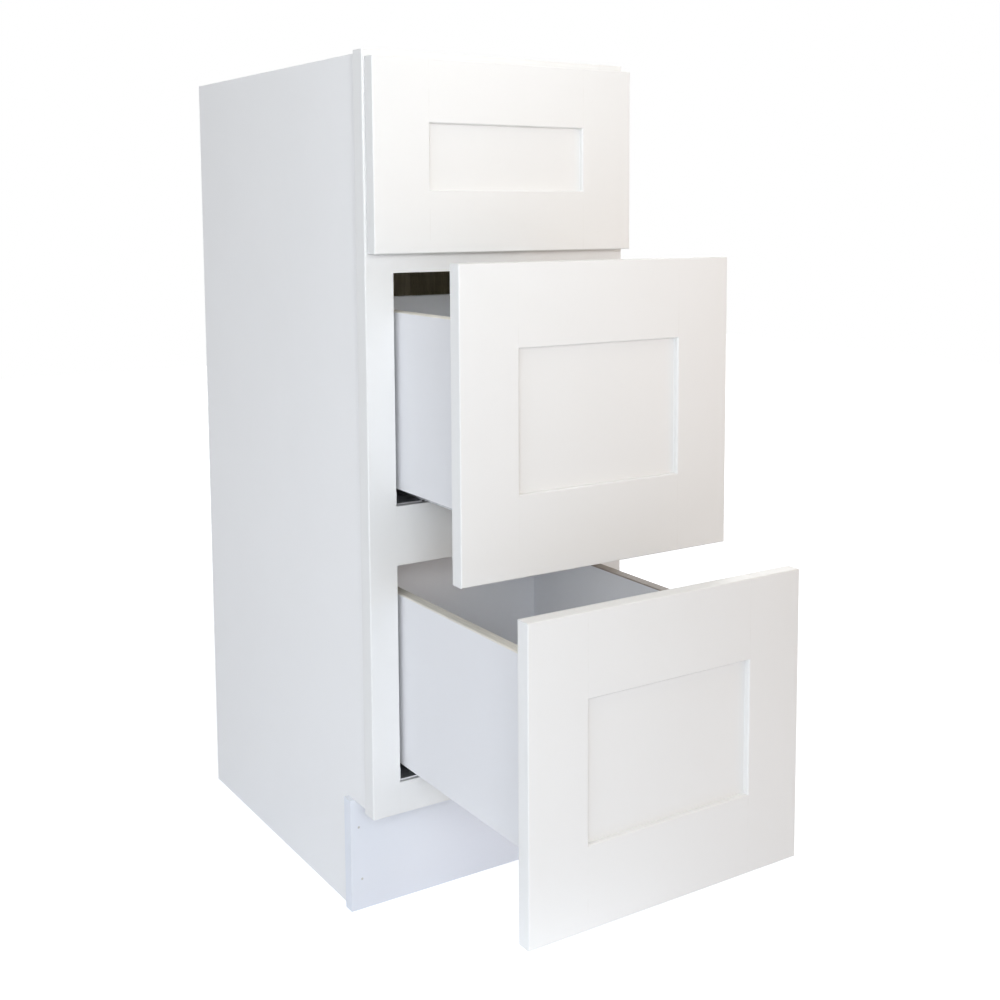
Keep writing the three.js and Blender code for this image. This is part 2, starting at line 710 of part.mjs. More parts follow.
function drawerAssembly(drawer) {
  const group = new THREE.Group();
  for (const [piece, solid] of Object.entries(frontPieces(drawer))) {
    group.add(part(`${drawer.name}_${piece}`, solid, 'paintedWood'));
  }
  for (const [piece, solid] of Object.entries(boxPieces(drawer))) {
    group.add(part(`${drawer.name}_${piece}`, solid, 'boxBoard'));
  }
  for (const [name, side] of Object.entries(SIDES)) {
    group.add(part(`${drawer.name}_slide_member_${name}`, drawerMember(side), 'zincSteel'));
  }
  group.position.set(0, FRAME_FRONT - drawer.open, drawer.sill);
  return group;
}

// ---- Cabinet ------------------------------------------------------------------------------

const group = new THREE.Group();
group.name = 'base_cabinet_with_drawers';
group.add(carcass());
for (const drawer of DRAWERS) {
  for (const [name, side] of Object.entries(SIDES)) {
    const fixed = part(`runner_${drawer.name}_${name}`, runner(side), 'zincSteel');
    fixed.position.set(0, FRAME_FRONT, drawer.sill);
    const rolling = part(`carriage_${drawer.name}_${name}`, carriage(side), 'zincSteel');
    rolling.position.set(0, FRAME_FRONT - drawer.open / 2, drawer.sill);
    group.add(fixed, rolling);
  }
  group.add(drawerAssembly(drawer));
}

export default group;
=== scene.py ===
# %% [markdown]
# # A narrow base cabinet with three drawers
#
# This lesson dresses a packed kitchen base cabinet. The wooden pieces and the slides come from
# the CAD frame with their shapes finished, so most of the work here is in their surfaces: a
# sprayed white paint, smooth coated panels, plywood and zinc-plated steel. Small hardware that
# the CAD leaves out, such as screws, nails, bumpers and clips, is made here and rides on the
# same bodies. Everything is in metres, with X to the right, Y to the wall and Z up.

# %% Load the frame
import math
import bmesh
import bpy
from mathutils import Euler, Matrix, Vector


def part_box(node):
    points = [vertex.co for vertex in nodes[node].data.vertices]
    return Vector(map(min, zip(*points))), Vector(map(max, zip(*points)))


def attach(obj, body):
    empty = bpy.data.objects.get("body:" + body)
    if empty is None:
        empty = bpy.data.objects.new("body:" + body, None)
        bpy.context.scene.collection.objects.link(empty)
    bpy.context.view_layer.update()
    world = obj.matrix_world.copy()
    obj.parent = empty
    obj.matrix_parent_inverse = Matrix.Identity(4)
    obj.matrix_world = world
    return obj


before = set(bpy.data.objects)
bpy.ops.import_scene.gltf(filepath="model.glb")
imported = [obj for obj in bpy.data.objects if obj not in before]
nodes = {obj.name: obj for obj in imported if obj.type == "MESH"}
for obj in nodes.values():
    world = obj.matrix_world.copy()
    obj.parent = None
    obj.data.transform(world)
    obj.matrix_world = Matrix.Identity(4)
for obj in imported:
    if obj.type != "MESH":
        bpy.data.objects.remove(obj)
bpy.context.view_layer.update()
MM = 0.001
DRAWERS = ("top", "middle", "bottom")
SIDES = {"left": -1, "right": 1}


# %% [markdown]
# ## Camera
#
# The photograph was taken from the left, a little lower than the cabinet's top, and the picture
# was cropped afterwards. A crop moves the optical centre away from the middle of the frame, and
# the camera's lens shift does the same, so upright edges lean as they do in the photograph.

# %% Place the camera
# Fitted to the cabinet's corners in the photograph: metres, degrees, and millimetres for the lens.
CAMERA_PLACE = (-0.7333, -1.6455, 0.7266)
CAMERA_TILT = 84.03
CAMERA_ROLL = 0.07
CAMERA_TURN = -34.18
CAMERA_LENS = 49.345
CAMERA_SHIFT = (-0.0608, -0.1484)
SENSOR_WIDTH = 36

camera_data = bpy.data.cameras.new("camera")
camera_data.lens = CAMERA_LENS
camera_data.sensor_width = SENSOR_WIDTH
camera_data.shift_x, camera_data.shift_y = CAMERA_SHIFT
camera = bpy.data.objects.new("camera", camera_data)
camera.location = CAMERA_PLACE
camera.rotation_euler = Euler([math.radians(a) for a in (CAMERA_TILT, CAMERA_ROLL, CAMERA_TURN)])
bpy.context.collection.objects.link(camera)
bpy.context.scene.camera = camera
bpy.context.scene.view_settings.view_transform = "Standard"
print("camera", CAMERA_LENS, "mm at", CAMERA_PLACE)

# %% [markdown]
# ## Studio
#
# The cabinet stands on white paper. In the photograph the fronts are brightest on their left, so
# most of the light comes from beside the camera. The open drawers are bright inside too, so some
# of it comes from above. The paper and the world are made first, and eight lamps follow.
#
# The paper's own colour is lifted where the camera or a reflection sees it, and more so farther
# away, so only a faint shadow stays near the cabinet. All surfaces here are node trees, and a few
# small helpers keep them short to write.

# %% Node tree helpers
def clear_tree(tree):
    for node in list(tree.nodes):
        tree.nodes.remove(node)
    return tree


def add_node(tree, kind, **values):
    node = tree.nodes.new(kind)
    for name, value in values.items():
        setattr(node, name, value)
    return node


def feed(tree, value, socket):
    """Links an output to a socket, or sets the socket's own value."""
    if isinstance(value, bpy.types.NodeSocket):
        tree.links.new(value, socket)
    else:
        socket.default_value = value


def maths(tree, operation, a, b=0.0, c=0.0, clamp=False):
    node = add_node(tree, "ShaderNodeMath", operation=operation, use_clamp=clamp)
    for value, socket in zip((a, b, c), node.inputs):
        feed(tree, value, socket)
    return node.outputs[0]


def vector_maths(tree, operation, a, b=(0.0, 0.0, 0.0)):
    node = add_node(tree, "ShaderNodeVectorMath", operation=operation)
    feed(tree, a, node.inputs[0])
    feed(tree, b, node.inputs[1])
    return node.outputs["Value" if operation in ("DOT_PRODUCT", "LENGTH") else "Vector"]


print("helpers: clear_tree, add_node, feed, maths, vector_maths")

# %% Noise helpers
NOISE_LOW = 0.3
NOISE_HIGH = 0.7


def object_place(tree):
    """Object coordinates: the place on the piece itself, in metres."""
    return add_node(tree, "ShaderNodeTexCoord").outputs["Object"]


def spread(tree, value, low, high, to_low=0.0, to_high=1.0):
    """Stretches what lies between low and high, and clamps the rest."""
    node = add_node(tree, "ShaderNodeMapRange", clamp=True)
    for item, socket in zip((value, low, high, to_low, to_high), node.inputs):
        feed(tree, item, socket)
    return node.outputs[0]


def noise(tree, place, scale, detail=2.0, roughness=0.5):
    node = add_node(tree, "ShaderNodeTexNoise")
    feed(tree, place, node.inputs["Vector"])
    feed(tree, scale, node.inputs["Scale"])
    node.inputs["Detail"].default_value = detail
    node.inputs["Roughness"].default_value = roughness
    return node.outputs["Fac"]


def varied(tree, pattern, low, high):
    """Turns a noise pattern, which seldom leaves 0.3 to 0.7, into values from low to high."""
    return spread(tree, pattern, NOISE_LOW, NOISE_HIGH, low, high)


print("helpers: object_place, spread, noise, varied")

# %% Floor
# The lift is the paper's own glow, in places up to FADE_START and beyond FADE_END metres away.
FLOOR_SIZE = 9.0
FLOOR_COLOUR = (0.84, 0.88, 0.96)
FLOOR_LIFT_NEAR = 0.60
FLOOR_LIFT_FAR = 1.0
FADE_START = 0.7
FADE_END = 1.8


def ray_is(tree, *kinds):
    """1 for a ray of one of the given kinds, and 0 for the others."""
    path = add_node(tree, "ShaderNodeLightPath")
    seen = path.outputs[f"Is {kinds[0]} Ray"]
    for kind in kinds[1:]:
        seen = maths(tree, "MAXIMUM", seen, path.outputs[f"Is {kind} Ray"])
    return seen


def paper_material():
    material = bpy.data.materials.new("floor_paper")
    material.use_nodes = True
    tree = clear_tree(material.node_tree)
    diffuse = add_node(tree, "ShaderNodeBsdfDiffuse")
    place = object_place(tree)
    grain = varied(tree, noise(tree, place, scale=3.0), low=0.98, high=1.0)
    feed(tree, vector_maths(tree, "MULTIPLY", grain, FLOOR_COLOUR), diffuse.inputs["Color"])
    lift = add_node(tree, "ShaderNodeEmission")
    seen = ray_is(tree, "Camera", "Glossy")
    away = vector_maths(tree, "LENGTH", place)
    fade = spread(tree, away, FADE_START, FADE_END, FLOOR_LIFT_NEAR, FLOOR_LIFT_FAR)
    feed(tree, maths(tree, "MULTIPLY", seen, fade), lift.inputs["Strength"])
    total = add_node(tree, "ShaderNodeAddShader")
    tree.links.new(diffuse.outputs[0], total.inputs[0])
    tree.links.new(lift.outputs[0], total.inputs[1])
    output = add_node(tree, "ShaderNodeOutputMaterial")
    tree.links.new(total.outputs[0], output.inputs["Surface"])
    return material


def make_floor():
    half = FLOOR_SIZE / 2
    corners = [(-half, -half, 0), (half, -half, 0), (half, half, 0), (-half, half, 0)]
    mesh = bpy.data.meshes.new("floor")
    mesh.from_pydata(corners, [], [(0, 1, 2, 3)])
    floor = bpy.data.objects.new("floor", mesh)
    bpy.context.collection.objects.link(floor)
    mesh.materials.append(paper_material())


make_floor()
print("floor", FLOOR_SIZE, "m wide")

# %% World
WORLD_COLOUR = (1.0, 0.975, 0.93, 1)
WORLD_STRENGTH = 0.36
BACKDROP_COLOUR = (1, 1, 1, 1)


def make_world():
    """A warm fill for the light, and plain white for every ray that looks at it directly."""
    world = bpy.data.worlds.new("studio")
    world.use_nodes = True
    tree = clear_tree(world.node_tree)
    fill = add_node(tree, "ShaderNodeBackground")
    fill.inputs["Color"].default_value = WORLD_COLOUR
    fill.inputs["Strength"].default_value = WORLD_STRENGTH
    white = add_node(tree, "ShaderNodeBackground")
    white.inputs["Color"].default_value = BACKDROP_COLOUR
    choice = add_node(tree, "ShaderNodeMixShader")
    tree.links.new(ray_is(tree, "Camera", "Glossy", "Transmission"), choice.inputs[0])
    tree.links.new(fill.outputs[0], choice.inputs[1])
    tree.links.new(white.outputs[0], choice.inputs[2])
    output = add_node(tree, "ShaderNodeOutputWorld")
    tree.links.new(choice.outputs[0], output.inputs["Surface"])
    bpy.context.scene.world = world


make_world()
print("world strength", WORLD_STRENGTH)

# %% [markdown]
# ## Lamps
#
# Area lamps give the soft light of a photographer's studio. "front" stands beside the camera and
# aims low and to the left, so that its light falls off to the right. "key" brightens the top
# front, "left" is broad and cool and lights the sides, and "right" is weak and warm and tints the
# right-hand edges. "overhead" reaches into the open drawers, and "ceiling", small and high, draws
# the fine shadow under the top edge of each panel. "low" is very weak and lifts the toe board,
# which the bottom drawer shades. "rear" keeps the right side and the back readable from behind.

# %% Lamps
# Each row: name, place, aim, width and height, watts, colour, and spread in degrees.
LAMPS = [
    ("front", (-0.95, -1.95, 0.85), (-0.55, -0.6, 0.15), (0.9, 0.6), 4.1, (0.93, 0.97, 1.0), 90),
    ("key", (-0.5, -1.9, 1.05), (0.0, -0.5, 1.08), (0.5, 0.5), 0.9, (0.95, 0.98, 1.0), 46),
    ("left", (-2.3, -1.5, 1.15), (0, -0.5, 0.4), (1.6, 1.2), 13, (0.87, 0.925, 1.0), 180),
    ("right", (1.2, -1.7, 0.6), (0.3, -0.7, 0.5), (0.5, 0.8), 0.75, (1.0, 0.52, 0.16), 90),
    ("overhead", (0.0, -0.7, 2.1), (0, -0.6, 0.4), (1.2, 1.2), 6, (1.0, 0.985, 0.96), 180),
    ("ceiling", (0.1, -1.55, 2.1), (0, -0.6, 0.5), (0.4, 0.4), 2.2, (1.0, 0.94, 0.85), 180),
    ("low", (-0.8, -1.45, 0.10), (0.12, -0.41, 0.03), (0.2, 0.1), 0.04, (0.85, 0.92, 1.0), 14),
    ("rear", (1.9, 0.7, 1.2), (0, -0.35, 0.4), (1.4, 1.2), 10, (1.0, 0.98, 0.96), 180),
]


def make_lamp(name, place, aim, size, watts, colour, spread_angle):
    data = bpy.data.lights.new(name, "AREA")
    data.shape = "RECTANGLE"
    data.size, data.size_y = size
    data.spread = math.radians(spread_angle)
    data.energy = watts
    data.color = colour
    lamp = bpy.data.objects.new(name, data)
    lamp.location = place
    lamp.rotation_euler = (Vector(aim) - Vector(place)).to_track_quat("-Z", "Y").to_euler()
    bpy.context.collection.objects.link(lamp)


for row in LAMPS:
    make_lamp(*row)
print(len(LAMPS), "lamps")

# %% [markdown]
# ## Surface effects shared by the materials
#
# Real cabinet surfaces differ by small things: a sprayed film has a fine orange peel and slow
# changes of gloss, plywood has long grain, and handled edges are a little rubbed. Each effect is
# a node group with named sockets, so every material can use it with its own values.

# %% Group builder
NUMBER = "NodeSocketFloat"


def new_group(name, inputs, outputs):
    """A shader node group whose sockets are all numbers. inputs holds names and defaults."""
    tree = bpy.data.node_groups.new(name, "ShaderNodeTree")
    for label, default in inputs.items():
        socket = tree.interface.new_socket(label, in_out="INPUT", socket_type=NUMBER)
        socket.default_value = default
    for label in outputs:
        tree.interface.new_socket(label, in_out="OUTPUT", socket_type=NUMBER)
    return tree, add_node(tree, "NodeGroupInput"), add_node(tree, "NodeGroupOutput")


def use_group(tree, group, **values):
    """Places a group. An underscore in a value's name stands for a space in the socket's."""
    node = add_node(tree, "ShaderNodeGroup")
    node.node_tree = group
    for label, value in values.items():
        feed(tree, value, node.inputs[label.replace("_", " ")])
    return node.outputs


print("helpers: new_group, use_group")

# %% Paint film group
STREAK_STRETCH = (40.0, 40.0, 4.0)
STREAK_HEIGHT = 0.4
STREAK_ROUGHNESS = 0.06
CLOUD_ROUGHNESS = 0.12


def build_paint_film():
    inputs = {"Peel Scale": 900.0, "Cloud Scale": 5.0, "Base Roughness": 0.4}
    tree, given, result = new_group("paint_film", inputs, ["Tint", "Roughness", "Height"])
    place = object_place(tree)
    cloud = noise(tree, place, given.outputs["Cloud Scale"], detail=3.0)
    peel = noise(tree, place, given.outputs["Peel Scale"])
    streak_place = vector_maths(tree, "MULTIPLY", place, STREAK_STRETCH)
    streak = noise(tree, streak_place, scale=6.0, detail=3.0)
    tree.links.new(varied(tree, cloud, low=0.975, high=1.0), result.inputs["Tint"])
    rough = maths(tree, "MULTIPLY_ADD", cloud, CLOUD_ROUGHNESS, given.outputs["Base Roughness"])
    rough = maths(tree, "MULTIPLY_ADD", streak, STREAK_ROUGHNESS, rough)
    tree.links.new(rough, result.inputs["Roughness"])
    height = maths(tree, "MULTIPLY_ADD", streak, STREAK_HEIGHT, peel)
    tree.links.new(height, result.inputs["Height"])
    return tree


paint_film = build_paint_film()
print("group", paint_film.name)

# %% Edge wear group
# WEAR_STARTS and WEAR_FULL are cosines of the angle between the two normals below.
WEAR_WIDTH = 1.2 * MM
WEAR_STARTS = 0.995
WEAR_FULL = 0.8


def build_edge_wear():
    """The Bevel node's normal turns away from the face's own near an edge, which finds the edge."""
    inputs = {"Width": WEAR_WIDTH, "Amount": 0.6}
    tree, given, result = new_group("edge_wear", inputs, ["Mask"])
    softened = add_node(tree, "ShaderNodeBevel", samples=4)
    tree.links.new(given.outputs["Width"], softened.inputs["Radius"])
    flat = add_node(tree, "ShaderNodeNewGeometry").outputs["Normal"]
    likeness = vector_maths(tree, "DOT_PRODUCT", softened.outputs["Normal"], flat)
    edge = spread(tree, likeness, WEAR_STARTS, WEAR_FULL)
    patches = noise(tree, object_place(tree), scale=60.0, detail=4.0, roughness=0.6)
    mask = maths(tree, "MULTIPLY", edge, spread(tree, patches, low=0.42, high=0.62))
    mask = maths(tree, "MULTIPLY", mask, given.outputs["Amount"], clamp=True)
    tree.links.new(mask, result.inputs["Mask"])
    return tree


edge_wear = build_edge_wear()
print("group", edge_wear.name)

# %% Wood grain group
GRAIN_WARP = (0.18, 0.18, 0.18)
FIGURE_SCALE = 14.0
PORE_SCALE = 130.0


def build_wood_grain():
    inputs = {f"Stretch {axis}": 1.0 for axis in "XYZ"}
    tree, given, result = new_group("wood_grain", inputs, ["Figure", "Pores"])
    stretch = add_node(tree, "ShaderNodeCombineXYZ")
    for axis in "XYZ":
        tree.links.new(given.outputs[f"Stretch {axis}"], stretch.inputs[axis])
    stretched = vector_maths(tree, "MULTIPLY", object_place(tree), stretch.outputs[0])
    warp = vector_maths(tree, "MULTIPLY", noise(tree, stretched, scale=4.0), GRAIN_WARP)
    bent = vector_maths(tree, "ADD", stretched, warp)
    figure = noise(tree, bent, FIGURE_SCALE, detail=6.0, roughness=0.55)
    tree.links.new(figure, result.inputs["Figure"])
    pores = spread(tree, noise(tree, bent, PORE_SCALE), low=0.52, high=0.66)
    tree.links.new(pores, result.inputs["Pores"])
    return tree


wood_grain = build_wood_grain()
print("group", wood_grain.name)

# %% [markdown]
# ## Painted wood
#
# The frame and the fronts are sprayed with a satin white. Seen close, the film has a fine orange
# peel and a trace of the wood's grain under it. The colour is a neutral white a little below full
# brightness, so highlights keep some room. Roughness varies slowly, which breaks up reflections.

# %% Material builder
def new_material(name):
    material = bpy.data.materials.new(name)
    material.use_nodes = True
    tree = clear_tree(material.node_tree)
    shader = add_node(tree, "ShaderNodeBsdfPrincipled")
    output = add_node(tree, "ShaderNodeOutputMaterial")
    tree.links.new(shader.outputs[0], output.inputs["Surface"])
    return material, tree, shader


def mixed(tree, factor, a, b):
    """A Mix node has sockets for each data type. Its colours are inputs 6 and 7 and output 2."""
    node = add_node(tree, "ShaderNodeMix", data_type="RGBA")
    feed(tree, factor, node.inputs[0])
    feed(tree, a, node.inputs[6])
    feed(tree, b, node.inputs[7])
    return node.outputs[2]


def bumped(tree, shader, height, strength, distance):
    bump = add_node(tree, "ShaderNodeBump")
    bump.inputs["Strength"].default_value = strength
    bump.inputs["Distance"].default_value = distance
    tree.links.new(height, bump.inputs["Height"])
    tree.links.new(bump.outputs[0], shader.inputs["Normal"])


print("helpers: new_material, mixed, bumped")

# %% Painted wood
PAINT = (0.82, 0.82, 0.815, 1)
PAINT_WORN = (0.70, 0.69, 0.66, 1)


def coated(name, colour, worn, roughness, wear, peel):
    """A sprayed or smooth coat. peel is the orange peel's scale: a higher one is finer."""
    material, tree, shader = new_material(name)
    film = use_group(tree, paint_film, Base_Roughness=roughness, Peel_Scale=peel)
    rubbed = use_group(tree, edge_wear, Amount=wear)["Mask"]
    base = vector_maths(tree, "MULTIPLY", film["Tint"], colour[:3])
    tree.links.new(mixed(tree, rubbed, base, worn), shader.inputs["Base Color"])
    tree.links.new(film["Roughness"], shader.inputs["Roughness"])
    bumped(tree, shader, film["Height"], strength=0.35, distance=0.04 * MM)
    return material


painted_wood = coated("painted_wood", PAINT, PAINT_WORN, roughness=0.34, wear=0.35, peel=900.0)
print("material", painted_wood.name)

# %% [markdown]
# ## Coated panels and box boards
#
# The side panels, the toe board and the drawer boxes are sheet material with a smooth white
# face. Only the faces are coated: the cabinet's inside shows the bare ply, and so do the edges
# of the side panels. One material can tell the two apart by the direction a face points in. The
# toe board's white coat carries a bluer tint, which is painted cool shade for the shade that it
# lies in under the drawers. The boxes' insides are painted brighter and bluer, as painted light,
# and the ply along the top edges of the box sides is painted lit on the left sides and painted
# shade on the right ones. The drawer bottoms are a cream board with a clear coat, which warms
# the light inside the boxes.

# %% Plywood colour
PLY_LIGHT = (0.62, 0.57, 0.45, 1)
PLY_DARK = (0.46, 0.42, 0.32, 1)


def ramp(tree, factor, stops):
    """stops are (place, colour) rows."""
    node = add_node(tree, "ShaderNodeValToRGB")
    elements = node.color_ramp.elements
    while len(elements) < len(stops):
        elements.new(0.5)
    for element, (place, colour) in zip(elements, stops):
        element.position = place
        element.color = colour
    feed(tree, factor, node.inputs[0])
    return node.outputs[0]


def ply_colour(tree):
    """The ply's colour and its figure. The low Z factor draws the grain out up the cabinet."""
    grain = use_group(tree, wood_grain, Stretch_X=6.0, Stretch_Y=6.0, Stretch_Z=0.8)
    figure = ramp(tree, grain["Figure"], [(0.35, PLY_DARK), (0.62, PLY_LIGHT)])
    return mixed(tree, grain["Pores"], figure, PLY_DARK), grain["Figure"]


def build_raw_ply():
    material, tree, shader = new_material("raw_ply")
    colour, figure = ply_colour(tree)
    rubbed = use_group(tree, edge_wear, Amount=0.5)["Mask"]
    tree.links.new(mixed(tree, rubbed, colour, PLY_LIGHT), shader.inputs["Base Color"])
    tree.links.new(varied(tree, figure, low=0.5, high=0.68), shader.inputs["Roughness"])
    bumped(tree, shader, figure, strength=0.5, distance=0.2 * MM)
    return material


raw_ply = build_raw_ply()
print("material", raw_ply.name)

# %% Side panels
# A face counts as outer or inner where its normal is turned that way by more than FLAT_ON. The
# layers are a wave with LAYER_WAVES radians in a metre, so a light and a dark one take 2.6 mm.
SIDE_COLOUR = (0.91, 0.91, 0.915, 1)
SIDE_WORN = (0.62, 0.60, 0.56, 1)
FLAT_ON = 0.5
LAYER_WAVES = 2400.0


def axes(tree, vector):
    """A vector's X, Y and Z as outputs."""
    node = add_node(tree, "ShaderNodeSeparateXYZ")
    tree.links.new(vector, node.inputs[0])
    return node.outputs


def facing(tree):
    """X, Y and Z of the direction that a face points in."""
    return axes(tree, add_node(tree, "ShaderNodeNewGeometry").outputs["Normal"])


def reopened(material):
    """A finished material's tree, its shader, and what feeds the Base Color so far."""
    shader = material.node_tree.nodes["Principled BSDF"]
    return material.node_tree, shader, shader.inputs["Base Color"].links[0].from_socket


def build_side_coat():
    """White on the outer face, ply inside, and ply layers on the edges."""
    material = coated("side_coat", SIDE_COLOUR, SIDE_WORN, roughness=0.42, wear=0.3, peel=600.0)
    tree, shader, white = reopened(material)
    across = axes(tree, object_place(tree))["X"]
    outward = maths(tree, "MULTIPLY", facing(tree)["X"], maths(tree, "SIGN", across))
    ply = ply_colour(tree)[0]
    layers = maths(tree, "SINE", maths(tree, "MULTIPLY", across, LAYER_WAVES))
    edge = mixed(tree, spread(tree, layers, low=-0.4, high=0.4), PLY_DARK, PLY_LIGHT)
    is_outer = maths(tree, "GREATER_THAN", outward, FLAT_ON)
    is_inner = maths(tree, "LESS_THAN", outward, -FLAT_ON)
    bare = mixed(tree, is_inner, edge, ply)
    tree.links.new(mixed(tree, is_outer, bare, white), shader.inputs["Base Color"])
    return material


side_coat = build_side_coat()
print("material", side_coat.name)

# %% Toe board
# The toe board's coat is white with a bluer tint, which is painted cool shade for the shade that it
# lies in under the drawers.
TOE_COOL_SHADE_COLOUR = (0.81, 0.84, 0.905, 1)
TOE_WORN = (0.60, 0.60, 0.60, 1)
toe_coat_and_cool_shade = coated("toe_coat_and_cool_shade", TOE_COOL_SHADE_COLOUR, TOE_WORN, roughness=0.42, wear=0.4, peel=900.0)
print("material", toe_coat_and_cool_shade.name)

# %% Drawer boxes
# In the photograph the right box side's top edge is much darker than the left one's.
BOX_COLOUR = (0.79, 0.795, 0.82, 1)
BOX_WORN = (0.62, 0.60, 0.57, 1)
# The inside colour is painted light: it is brighter and bluer than the outer coat, and stands in for
# light reaching into the boxes.
BOX_INSIDE_PAINTED_LIGHT = (0.93, 0.95, 1.0, 1)
# The two edge colours are one ply as lit and shaded copies: painted light on the left sides' top
# edges and painted shade on the right ones.
BOX_EDGE_PAINTED_LIT = (0.80, 0.78, 0.72, 1)
BOX_EDGE_PAINTED_SHADE = (0.40, 0.35, 0.31, 1)
BOX_GRAIN_STRETCH = (90, 8, 90)
FACE_MARGIN = 0.5 * MM
FACES_UP = 0.3


def build_box_coat():
    """Coated faces, painted light inside, and ply along the sides' top edges, painted lit left,
    shaded right.
    """
    material = coated("box_coat_and_painted_light", BOX_COLOUR, BOX_WORN, roughness=0.38, wear=0.45, peel=500.0)
    tree, shader, white = reopened(material)
    place = object_place(tree)
    across = axes(tree, place)["X"]
    away = maths(tree, "ABSOLUTE", across)
    side_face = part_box("middle_box_side_right")[0].x
    is_inside = maths(tree, "LESS_THAN", away, side_face + FACE_MARGIN)
    colour = mixed(tree, is_inside, white, BOX_INSIDE_PAINTED_LIGHT)
    is_right = maths(tree, "GREATER_THAN", across, 0.0)
    edge = mixed(tree, is_right, BOX_EDGE_PAINTED_LIT, BOX_EDGE_PAINTED_SHADE)
    grain_place = vector_maths(tree, "MULTIPLY", place, BOX_GRAIN_STRETCH)
    grain = noise(tree, grain_place, scale=6.0, detail=4.0)
    edge = vector_maths(tree, "MULTIPLY", varied(tree, grain, low=0.85, high=1.05), edge)
    on_side = maths(tree, "GREATER_THAN", away, side_face - FACE_MARGIN)
    on_top = maths(tree, "GREATER_THAN", facing(tree)["Z"], FACES_UP)
    on_edge = maths(tree, "MULTIPLY", on_side, on_top)
    tree.links.new(mixed(tree, on_edge, colour, edge), shader.inputs["Base Color"])
    return material


box_coat_and_painted_light = build_box_coat()
print("material", box_coat_and_painted_light.name)

# %% Drawer bottoms
BOARD_COLOUR = (0.84, 0.78, 0.66, 1)
BOARD_WORN = (0.62, 0.57, 0.48, 1)
bottom_board = coated("bottom_board", BOARD_COLOUR, BOARD_WORN, roughness=0.4, wear=0.4, peel=400.0)
print("material", bottom_board.name)

# %% [markdown]
# ## Zinc-plated steel
#
# Slides are folded from zinc-plated sheet. The plating is dull and slightly mottled, with fine
# lines along the folding direction, which is the slide's length. A high Metallic value with a
# rough, varying surface keeps it from looking like a mirror. A runner and its rear socket are one
# piece here, so its material changes from steel to plastic at the socket's mouth.

# %% Zinc steel
ZINC_DARK = (0.42, 0.43, 0.45, 1)
ZINC_LIGHT = (0.60, 0.61, 0.63, 1)
ZINC_RUBBED = (0.75, 0.75, 0.76, 1)
ZINC_METALLIC = 0.9
LINE_STRETCH = (900.0, 12.0, 900.0)


def build_zinc(name):
    material, tree, shader = new_material(name)
    place = object_place(tree)
    line_place = vector_maths(tree, "MULTIPLY", place, LINE_STRETCH)
    lines = noise(tree, line_place, scale=1.0, detail=3.0)
    mottle = noise(tree, place, scale=90.0, detail=3.0)
    colour = ramp(tree, mottle, [(0.35, ZINC_DARK), (0.65, ZINC_LIGHT)])
    rubbed = use_group(tree, edge_wear, Amount=0.6)["Mask"]
    tree.links.new(mixed(tree, rubbed, colour, ZINC_RUBBED), shader.inputs["Base Color"])
    shader.inputs["Metallic"].default_value = ZINC_METALLIC
    tree.links.new(varied(tree, lines, low=0.28, high=0.46), shader.inputs["Roughness"])
    bumped(tree, shader, lines, strength=0.3, distance=0.03 * MM)
    return material


zinc_steel = build_zinc("zinc_steel")
print("material", zinc_steel.name)

# %% Runners with their sockets
# The length is 0.25 mm more than the socket's own, so that its front face is plastic too.
SOCKET_LENGTH = 0.0901
SOCKET_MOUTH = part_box("runner_top_left")[1].y - SOCKET_LENGTH
SOCKET_GREY = (0.12, 0.125, 0.13, 1)


def build_socket_steel():
    """Zinc steel that turns into grey moulded plastic behind the socket's mouth."""
    material = build_zinc("zinc_with_socket")
    tree, shader, steel = reopened(material)
    is_socket = maths(tree, "GREATER_THAN", axes(tree, object_place(tree))["Y"], SOCKET_MOUTH)
    tree.links.new(mixed(tree, is_socket, steel, SOCKET_GREY), shader.inputs["Base Color"])
    metallic = maths(tree, "MULTIPLY_ADD", is_socket, -ZINC_METALLIC, ZINC_METALLIC)
    tree.links.new(metallic, shader.inputs["Metallic"])
    return material


runner_steel = build_socket_steel()
print("material", runner_steel.name)

# %% Plastic and rubber
CLIP_COLOUR = (0.16, 0.165, 0.17, 1)
BUMPER_COLOUR = (0.55, 0.55, 0.53, 1)
RUBBED_PALER = 1.6


def build_plastic(name, colour):
    material, tree, shader = new_material(name)
    place = object_place(tree)
    grain = noise(tree, place, scale=1800.0)
    cloud = noise(tree, place, scale=40.0)
    rubbed = use_group(tree, edge_wear, Amount=0.4)["Mask"]
    base = vector_maths(tree, "MULTIPLY", varied(tree, cloud, low=0.9, high=1.05), colour[:3])
    paler = tuple(min(1.0, RUBBED_PALER * value) for value in colour)
    tree.links.new(mixed(tree, rubbed, base, paler), shader.inputs["Base Color"])
    tree.links.new(varied(tree, cloud, low=0.45, high=0.6), shader.inputs["Roughness"])
    bumped(tree, shader, grain, strength=0.3, distance=0.04 * MM)
    return material


clip_plastic = build_plastic("clip_plastic", CLIP_COLOUR)
bumper_rubber = build_plastic("bumper_rubber", BUMPER_COLOUR)
print("materials", clip_plastic.name, bumper_rubber.name)

# %% [markdown]
# ## Dressing the CAD pieces
#
# Each node of the frame is one piece of the cabinet, and its name says which. So one function
# picks the material from the name, which also keeps left and right pieces alike.

# %% Dress the CAD nodes
def material_of(name):
    """A CAD node's material, by the node's name."""
    if name.startswith("runner_"):
        return runner_steel
    if name.startswith("carriage_") or "slide_member" in name:
        return zinc_steel
    if "_box_" in name:
        return bottom_board if name.endswith("bottom") else box_coat_and_painted_light
    if "_front_" in name or name.startswith("frame_"):
        return painted_wood
    if name.startswith("side_panel"):
        return side_coat
    return toe_coat_and_cool_shade if name == "toe_kick_board" else raw_ply


